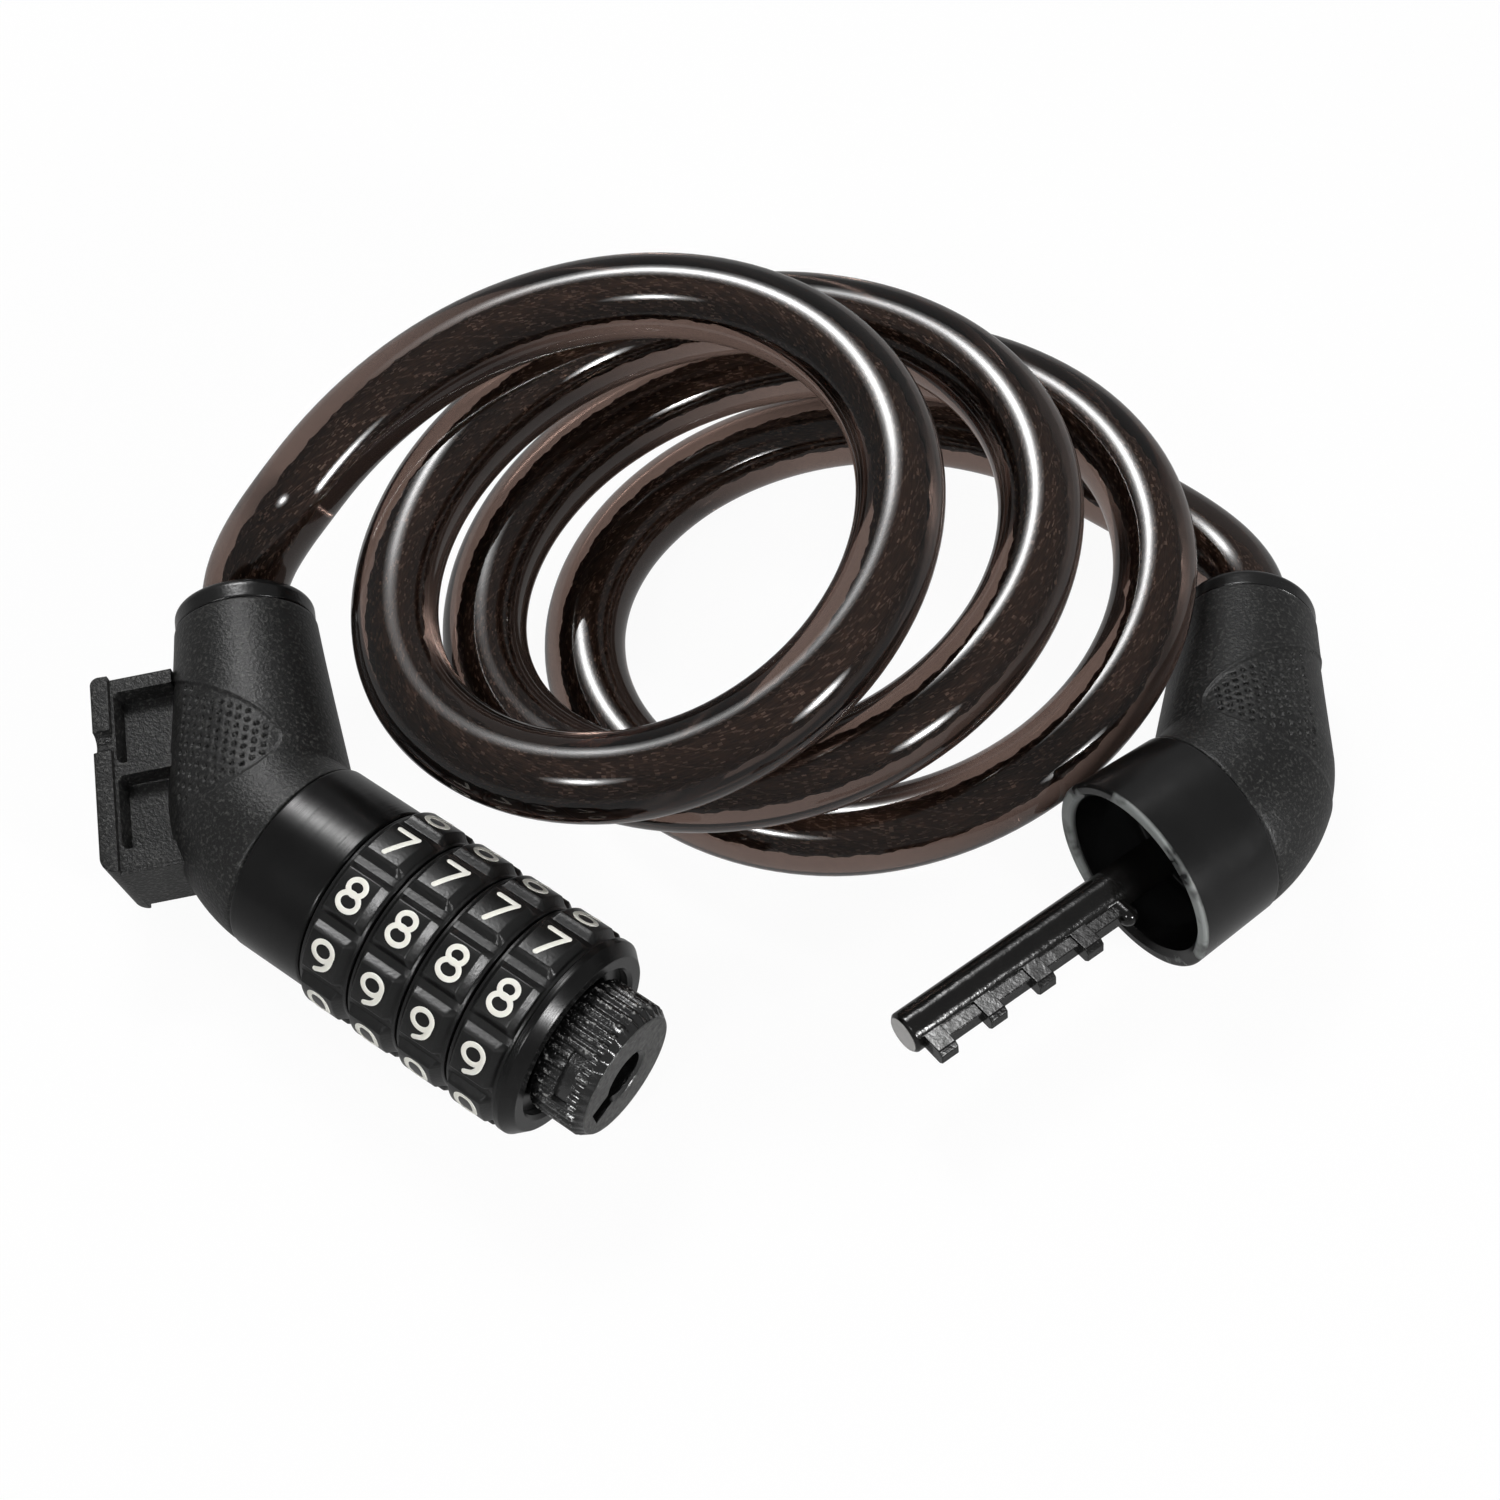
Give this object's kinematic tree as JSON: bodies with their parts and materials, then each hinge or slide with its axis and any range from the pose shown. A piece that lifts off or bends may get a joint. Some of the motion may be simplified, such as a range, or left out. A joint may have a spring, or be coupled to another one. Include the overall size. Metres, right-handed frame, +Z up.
{
  "type": "combination cable lock",
  "caption": "Coiled cable lock lying open: a head with number dials and a reset knob, a coiled steel cable in a plastic sheath, and a plug with a toothed lock pin.",
  "frame": {"origin": "on the surface it lies on, under the middle of the head's own box (boot, barrel, dials and knob)", "axes": "+X along the head's barrel, out of its keyhole; +Z up from the surface"},
  "size_m": [0.1519, 0.1485, 0.0547],
  "materials": {
    "boot": "fine moulded grain",
    "trim": "smooth satin",
    "gloss_black": "polished black",
    "dial": "semi-gloss black with cream filled digits",
    "pin_black": "black oxide",
    "cast_core": "die-cast",
    "steel": "turned",
    "spring": "spring strip",
    "ferrule": "zinc plated",
    "rope": "twisted strands",
    "code_ring": "as cast",
    "sheath": "clear smoky plastic over a dark twisted rope"
  },
  "bodies": {
    "lock": {"boot_head": "boot", "end_ring_head": "trim", "core_head": "cast_core", "ferrule_head": "ferrule", "rope_end_head": "rope", "cross_pin_head": "steel", "barrel_ring": "gloss_black", "core_tube": "steel", "detent_spring": "spring", "end_collar": "gloss_black", "retaining_clip": "steel", "cable_coil": "sheath", "boot_plug": "boot", "end_ring_plug": "trim", "core_plug": "cast_core", "ferrule_plug": "ferrule", "rope_end_plug": "rope", "cross_pin_plug": "steel", "shroud": "gloss_black", "lock_pin": "pin_black", "pin_dowel": "steel"},
    "dial_1_body": {"dial_1": "dial", "code_ring_1": "code_ring"},
    "dial_2_body": {"dial_2": "dial", "code_ring_2": "code_ring"},
    "dial_3_body": {"dial_3": "dial", "code_ring_3": "code_ring"},
    "dial_4_body": {"dial_4": "dial", "code_ring_4": "code_ring"},
    "knob_body": {"reset_knob": "gloss_black", "knob_pin": "steel"}
  },
  "joints": [
    {"name": "dial_1_turn", "type": "hinge", "parent": "lock", "child": "dial_1_body", "pos_m": [0.00737, -0.00702, 0.015], "axis": [1, 0, 0], "continuous": true},
    {"name": "dial_2_turn", "type": "hinge", "parent": "lock", "child": "dial_2_body", "pos_m": [0.01567, -0.00702, 0.015], "axis": [1, 0, 0], "continuous": true},
    {"name": "dial_3_turn", "type": "hinge", "parent": "lock", "child": "dial_3_body", "pos_m": [0.02397, -0.00702, 0.015], "axis": [1, 0, 0], "continuous": true},
    {"name": "dial_4_turn", "type": "hinge", "parent": "lock", "child": "dial_4_body", "pos_m": [0.03227, -0.00702, 0.015], "axis": [1, 0, 0], "continuous": true},
    {"name": "reset_knob_turn", "type": "hinge", "parent": "lock", "child": "knob_body", "pos_m": [0.042, -0.00702, 0.015], "axis": [1, 0, 0], "range_deg": [0, 90]}
  ]
}
